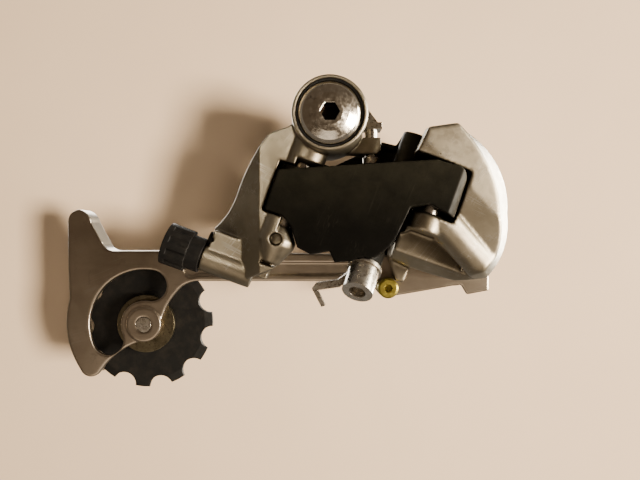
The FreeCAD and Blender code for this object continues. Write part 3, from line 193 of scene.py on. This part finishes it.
# ---------------------------------------------------------------- finishes
def cast_aluminium():
    """Bead-blasted and lacquered aluminium, dulled and scratched by use, with stains, and with
    painted shade in its corners and hollows.
    """
    dull, clean = (0.28, 0.242, 0.175), (0.40, 0.352, 0.265)
    bare, dirt_and_shade = (0.70, 0.66, 0.58), (0.060, 0.046, 0.028)
    f = Finish("cast_aluminium").set(Metallic=1.0)
    tone = f.mix(f.patches(90, 0.35, 0.68, 4.0), dull, clean)
    marks = f.math("MAXIMUM", f.scratches(700, 0.9), f.scratches(520, -0.5))
    marks = f.times(marks, f.patches(130, 0.5, 0.66, 2.0))
    tone = f.mix(f.times(marks, 0.45), tone, bare)
    stains = f.times(f.patches(260, 0.58, 0.76, 5.0, 0.65), 0.3)
    # Painted shade: the colour darkens in corners and hollows by ambient occlusion, over real
    # stains in patches.
    stains_and_shade = f.math("MAXIMUM", stains, f.hollow_shade(6.0 * MM, 0.35, 0.92))
    f.plug(f.mix(f.times(stains_and_shade, 0.9), tone, dirt_and_shade), "Base Color")
    rough = f.uneven(420, 0.36, 0.46)
    f.plug(f.math("SUBTRACT", rough, f.times(marks, 0.1)), "Roughness")
    f.relief(f.math("ADD", f.noise(5200, 2.0), f.times(marks, -0.15)), 0.02 * MM)
    return f.material


def cage_steel():
    """Polished and plated sheet steel, browned, with lengthwise grain."""
    brown, pale = (0.43, 0.36, 0.28), (0.58, 0.50, 0.40)
    bare, stain = (0.62, 0.58, 0.52), (0.11, 0.085, 0.06)
    f = Finish("cage_steel").set(Metallic=1.0)
    grain = f.noise(1.0, 3.0, 0.6, f.stretched((150, 3200, 3200)))
    tone = f.mix(f.patches(70, 0.36, 0.66, 4.0), brown, pale)
    tone = f.mix(f.times(f.patches(210, 0.60, 0.75, 5.0, 0.7), 0.3), tone, stain)
    marks = f.times(f.scratches(600, 0.35), f.patches(95, 0.48, 0.62, 2.0))
    f.plug(f.mix(f.times(marks, 0.35), tone, bare), "Base Color")
    f.plug(f.span(grain, 0.3, 0.7, 0.29, 0.36), "Roughness")
    f.relief(grain, 0.001 * MM)
    return f.material


def chrome():
    """Chromed bolt: bright, with faint swirl marks, a little dirt, and painted shade in its corners
    and down its socket.
    """
    bright, dirt_and_shade = (0.70, 0.66, 0.58), (0.018, 0.013, 0.009)
    f = Finish("chrome").set(Metallic=1.0)
    stains = f.times(f.patches(330, 0.58, 0.74, 4.0, 0.7), 0.5)
    # Painted shade: darker in corners by ambient occlusion and darkest down the socket, over real
    # stains in patches.
    stains_and_shade = f.math("MAXIMUM", stains, f.hollow_shade(2.5 * MM, 0.3, 0.85))
    stains_and_shade = f.math("MAXIMUM", stains_and_shade, f.socket_shade(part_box("mounting_bolt")[0][1], 3.6 * MM))
    f.plug(f.mix(stains_and_shade, bright, dirt_and_shade), "Base Color")
    f.plug(f.uneven(900, 0.10, 0.24), "Roughness")
    f.relief(f.noise(1400, 2.0), 0.008 * MM, 0.3 * MM)
    return f.material


def black_steel():
    """Satin black lacquer on steel, faintly scratched, with dust in patches and a painted sheen
    that lightens the top of the links.
    """
    lacquer, dust_and_sheen, bare = (0.0012, 0.0012, 0.0011), (0.036, 0.033, 0.022), (0.12, 0.11, 0.09)
    f = Finish("black_steel").set(Specular_IOR_Level=0.12)
    cloud = f.span(f.noise(150, 5.0, 0.7), 0.3, 0.8, 0.4, 1.0)
    height = f.node("ShaderNodeSeparateXYZ", {"Vector": f.place}).outputs["Z"]
    # Painted sheen: the links turn lighter towards their top, on top of real dust in random
    # patches.
    top_sheen = f.span(height, -34 * MM, -14 * MM, 0.15, 0.9)
    tone = f.mix(f.times(cloud, top_sheen), lacquer, dust_and_sheen)
    marks = f.times(f.scratches(650, 1.2), f.patches(120, 0.52, 0.66, 2.0))
    f.plug(f.mix(f.times(marks, 0.10), tone, bare), "Base Color")
    f.plug(f.uneven(500, 0.40, 0.56, 4.0), "Roughness")
    f.relief(f.noise(2600, 3.0), 0.02 * MM, 0.4 * MM)
    return f.material


def resin(name, clean, dusty):
    """Moulded resin with a matte skin and dust in its grain."""
    f = Finish(name).set(Specular_IOR_Level=0.35)
    f.plug(f.mix(f.patches(240, 0.45, 0.75, 5.0, 0.7), clean, dusty), "Base Color")
    f.plug(f.uneven(700, 0.45, 0.66), "Roughness")
    f.relief(f.noise(3800, 3.0), 0.03 * MM, 0.3 * MM)
    return f.material


def plated(name, tarnished, bright, smooth=0.22, rough=0.38):
    """Bright plated fastener metal with tarnish, and painted shade in its corners."""
    dirt_and_shade = (0.050, 0.040, 0.027)
    f = Finish(name).set(Metallic=1.0)
    tone = f.mix(f.patches(420, 0.40, 0.72, 5.0, 0.7), bright, tarnished)
    # Painted shade: darker in corners and hollows by ambient occlusion; here the dark colour stands
    # for shade alone.
    f.plug(f.mix(f.hollow_shade(1.2 * MM, 0.2, 0.65), tone, dirt_and_shade), "Base Color")
    f.plug(f.uneven(1100, smooth, rough), "Roughness")
    f.relief(f.noise(3000, 2.0), 0.01 * MM, 0.25 * MM)
    return f.material


FINISHES = {
    "cast_aluminium": cast_aluminium(),
    "cage_steel": cage_steel(),
    "chrome": chrome(),
    "black_steel": black_steel(),
    "black_resin": resin("black_resin", (0.006, 0.0058, 0.0055), (0.018, 0.016, 0.013)),
    "dark_resin": resin("dark_resin", (0.006, 0.006, 0.0055), (0.020, 0.017, 0.013)),
    "nickel_steel": plated("nickel_steel", (0.44, 0.385, 0.30), (0.66, 0.62, 0.55)),
    "spring_steel": plated("spring_steel", (0.16, 0.14, 0.12), (0.36, 0.35, 0.34)),
    "yellow_zinc": plated("yellow_zinc", (0.30, 0.22, 0.05), (0.58, 0.48, 0.09), 0.3, 0.5),
    "bronze": plated("bronze", (0.28, 0.18, 0.09), (0.55, 0.40, 0.22), 0.35, 0.5),
}
WORN = {
    "tension_dust_caps": plated("worn_cap", (0.10, 0.085, 0.052), (0.22, 0.19, 0.125), 0.26, 0.42),
}


# ---------------------------------------------------------------- pieces
SKIN_FACES = 36000
FORGED = {      # node: grid of its skin, and smoothing passes, which set how round the edges are
    "bracket_body": (0.26 * MM, 16),
    "plate_body": (0.30 * MM, 40),
    "outer_link": (0.24 * MM, 7),
    "inner_link": (0.30 * MM, 4),
    "outer_plate": (0.24 * MM, 14),
    "inner_plate": (0.30 * MM, 8),
}


def dress(piece, finish):
    piece.data.materials.clear()
    piece.data.materials.append(finish)


def applied(piece):
    """Bake a piece's modifiers into its mesh."""
    graph = bpy.context.evaluated_depsgraph_get()
    mesh = bpy.data.meshes.new_from_object(piece.evaluated_get(graph))
    piece.modifiers.clear()
    piece.data = mesh


def forged(name, grid, passes):
    """A skin over a CAD node with its edges rounded as forging and tumbling leave them."""
    mesh = nodes[name].data.copy()
    shape = bmesh.new()
    shape.from_mesh(mesh)
    bmesh.ops.remove_doubles(shape, verts=shape.verts, dist=0.001 * MM)
    shape.to_mesh(mesh)
    shape.free()
    piece = bpy.data.objects.new(name + "_skin", mesh)
    bpy.context.scene.collection.objects.link(piece)
    remesh = piece.modifiers.new("grid", "REMESH")
    remesh.mode = "VOXEL"
    remesh.voxel_size = grid
    smooth = piece.modifiers.new("tumble", "SMOOTH")
    smooth.factor = 0.5
    smooth.iterations = passes
    applied(piece)
    lighter = piece.modifiers.new("lighter", "DECIMATE")
    lighter.ratio = min(1.0, SKIN_FACES / len(piece.data.polygons))
    applied(piece)
    for face in piece.data.polygons:
        face.use_smooth = True
    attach(piece, nodes[name]["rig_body"])
    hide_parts(name)
    return piece


pieces = {}
for part in frame["record"]["subparts"]:
    name, slot = part["node"], part["material_slot"]
    pieces[name] = forged(name, *FORGED[name]) if name in FORGED else nodes[name]
    dress(pieces[name], WORN.get(name, FINISHES[slot]))


# ---------------------------------------------------------------- studio
TABLE_Y, TABLE_HALF = 0.056, 1.2        # beyond the cage at full fold
ROOM_DARK, ROOM_PALE = (0.095, 0.066, 0.042), (0.29, 0.26, 0.225)
CAMERA_PLACE = (-2.8 * MM, -208.5 * MM, -36.4 * MM)
WARM = (1.0, 0.82, 0.62)
LAMPS = {       # direction from the part, distance and size in metres, watts, colour
    "long_key": ((0.50, -0.86, -0.06), 0.62, 0.11, 12.0, WARM),
    "short_key": ((0.24, -0.95, 0.0), 0.62, 0.12, 0.9, WARM),
    "bolt_key": ((0.56, -0.80, 0.02), 0.62, 0.11, 12.5, WARM),
    "key": ((0.87, -0.50, -0.16), 0.60, 0.18, 6.8, (1.0, 0.85, 0.68)),
    "side": ((0.98, -0.06, 0.10), 0.45, 0.28, 7.6, (1.0, 0.90, 0.74)),
    "bounce": ((-0.10, -0.80, -0.58), 0.60, 0.40, 0.6, (1.0, 0.84, 0.66)),
    "rear": ((-0.55, 1.0, 0.40), 0.60, 0.44, 5.2, (1.0, 0.97, 0.92)),
    "low_rim": ((0.72, 0.68, 0.10), 0.42, 0.22, 5.5, (1.0, 0.92, 0.78)),
    "high": ((-0.20, -0.90, 0.32), 0.60, 0.10, 1.1, (1.0, 0.88, 0.70)),
}


def area_light(name, direction, distance, size, power, colour):
    """Square soft box looking at the part from a direction."""
    light = bpy.data.lights.new(name, "AREA")
    light.size = size
    light.energy = power
    light.color = colour
    lamp = bpy.data.objects.new(name, light)
    bpy.context.scene.collection.objects.link(lamp)
    centre = (Vector(cad_box[0]) + Vector(cad_box[1])) / 2
    lamp.location = centre + Vector(direction).normalized() * distance
    lamp.rotation_euler = (centre - lamp.location).to_track_quat("-Z", "Y").to_euler()
    return lamp


def backdrop(y, half):
    """Pale table behind the part, clear to views from behind and to mirrored rays."""
    mesh = bpy.data.meshes.new("table")
    corners = [(-half, y, -half), (half, y, -half), (half, y, half), (-half, y, half)]
    mesh.from_pydata(corners, [], [(0, 1, 2, 3)])
    table = bpy.data.objects.new("table", mesh)
    bpy.context.scene.collection.objects.link(table)
    f = Finish("table_paper").set(Roughness=0.85)
    f.plug(f.mix(f.patches(14, 0.35, 0.65), [0.96 * c for c in PAPER], PAPER), "Base Color")
    behind = f.node("ShaderNodeNewGeometry").outputs["Backfacing"]
    mirrored = f.node("ShaderNodeLightPath").outputs["Is Glossy Ray"]
    either = f.node("ShaderNodeMixShader")
    f.feed(either.inputs[0], f.math("MAXIMUM", behind, mirrored))
    f.feed(either.inputs[1], f.shader.outputs[0])
    f.feed(either.inputs[2], f.node("ShaderNodeBsdfTransparent").outputs[0])
    f.feed(f.tree.nodes["Material Output"].inputs["Surface"], either.outputs[0])
    mesh.materials.append(f.material)
    return table


def room_light():
    """Dim brown room on the camera's side and a pale one beyond; cameras see even paper."""
    world = bpy.data.worlds.new("room")
    bpy.context.scene.world = world
    world.use_nodes = True
    tree = world.node_tree
    seen = tree.nodes["Background"]
    seen.inputs["Color"].default_value = (*PAPER, 1)
    seen.inputs["Strength"].default_value = 0.85
    lit = tree.nodes.new("ShaderNodeBackground")
    ramp = tree.nodes.new("ShaderNodeValToRGB")
    for stop, position, colour in zip(ramp.color_ramp.elements, (0.1, 0.75),
                                      (ROOM_DARK, ROOM_PALE)):
        stop.position = position
        stop.color = (*colour, 1)
    way = tree.nodes.new("ShaderNodeTexCoord").outputs["Generated"]
    split = tree.nodes.new("ShaderNodeSeparateXYZ")
    depth = tree.nodes.new("ShaderNodeMapRange")
    depth.inputs["From Min"].default_value = -1.0
    either = tree.nodes.new("ShaderNodeMixShader")
    ray = tree.nodes.new("ShaderNodeLightPath")
    for source, target in (
            (way, split.inputs[0]),
            (split.outputs["Y"], depth.inputs["Value"]),
            (depth.outputs["Result"], ramp.inputs["Fac"]),
            (ramp.outputs["Color"], lit.inputs["Color"]),
            (ray.outputs["Is Camera Ray"], either.inputs[0]),
            (lit.outputs[0], either.inputs[1]),
            (seen.outputs[0], either.inputs[2]),
            (either.outputs[0], tree.nodes["World Output"].inputs["Surface"])):
        tree.links.new(source, target)


def linked(name, member, state):
    """Collection that tells a light to include or exclude one piece."""
    group = bpy.data.collections.new(name)
    group.objects.link(member)
    group.collection_objects[0].light_linking.link_state = state
    return group


def studio():
    """Two lamps light only the table, for its shadows; the rest light the part or a piece of it."""
    room_light()
    table = backdrop(TABLE_Y, TABLE_HALF)
    not_table = linked("not_table", table, "EXCLUDE")
    table_only = linked("table_only", table, "INCLUDE")
    lit_by = {
        "long_key": table_only,
        "short_key": table_only,
        "bolt_key": linked("bolt_only", pieces["mounting_bolt"], "INCLUDE"),
        "high": linked("bracket_only", pieces["bracket_body"], "INCLUDE"),
    }
    for name, setting in LAMPS.items():
        lamp = area_light(name, *setting)
        lamp.light_linking.receiver_collection = lit_by.get(name, not_table)
        if name == "low_rim":       # it stands behind the table, which must not shade the part
            lamp.light_linking.blocker_collection = not_table


def camera():
    """Straight down onto the outboard side, as if over a table."""
    lens = bpy.data.cameras.new("camera")
    lens.sensor_width = 36.0
    lens.lens = 36.1
    lens.clip_start = 0.01
    eye = bpy.data.objects.new("camera", lens)
    bpy.context.scene.collection.objects.link(eye)
    eye.location = CAMERA_PLACE
    eye.rotation_euler = (math.radians(90), 0, 0)
    bpy.context.scene.camera = eye


studio()
camera()
